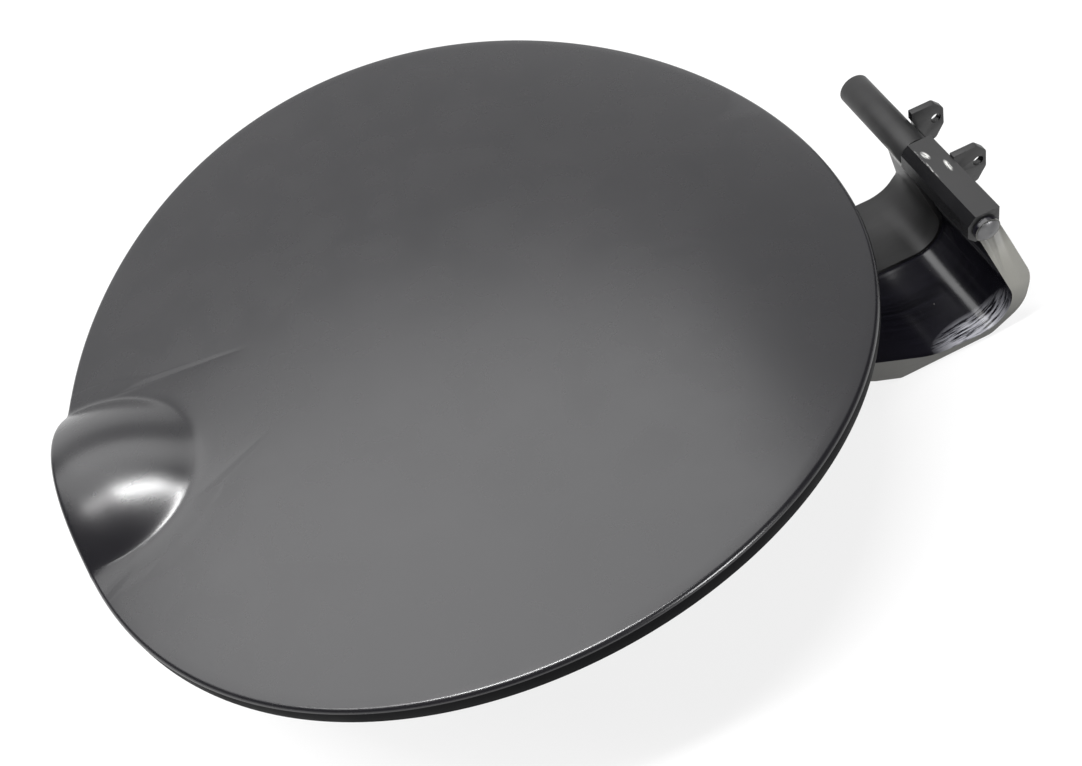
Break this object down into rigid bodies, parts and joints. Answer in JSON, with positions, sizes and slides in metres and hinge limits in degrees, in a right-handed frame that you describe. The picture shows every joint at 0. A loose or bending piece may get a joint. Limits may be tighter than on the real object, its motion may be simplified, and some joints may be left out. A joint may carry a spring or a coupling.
{
  "type": "car fuel door",
  "caption": "Round crowned fuel door with a raised finger grip, on a gooseneck hinge arm that turns on a small fixed hinge block.",
  "frame": {"origin": "on the common bore of the hinge block's two ears, midway between them", "axes": "+X from the finger grip to the hinge, +Y along the hinge, +Z out of the closed door"},
  "size_m": [0.211, 0.1798, 0.0571],
  "materials": {
    "outer_e_coat": "satin black electro-coat primer",
    "inner_e_coat": "satin black electro-coat primer",
    "arm_e_coat": "glossier black coat over draw lines",
    "leaf_e_coat": "satin dark grey coat",
    "block_e_coat": "satin dark grey coat, scuffed",
    "rivet_steel": "dark coated steel",
    "zinc_plate": "zinc plated",
    "pin_steel": "dark coated steel",
    "spring_steel": "drawn wire",
    "black_rubber": "moulded rubber"
  },
  "bodies": {
    "hinge_base": {"hinge_block": "block_e_coat"},
    "door": {"door_skin": "outer_e_coat", "inner_panel": "inner_e_coat", "hinge_arm": "arm_e_coat", "barrel_leaf": "leaf_e_coat", "arm_rivets": "rivet_steel", "latch_catch": "zinc_plate", "catch_rivets": "rivet_steel", "rest_buffers": "black_rubber", "hinge_pin": "pin_steel", "closing_spring": "spring_steel"}
  },
  "joints": [
    {"name": "door_swing", "type": "hinge", "parent": "hinge_base", "child": "door", "pos_m": [-0.0095, 0, 0], "axis": [0, 1, 0], "range_deg": [0, 95], "stiffness_Nm_per_rad": 0.02, "springref_deg": -34.38}
  ]
}
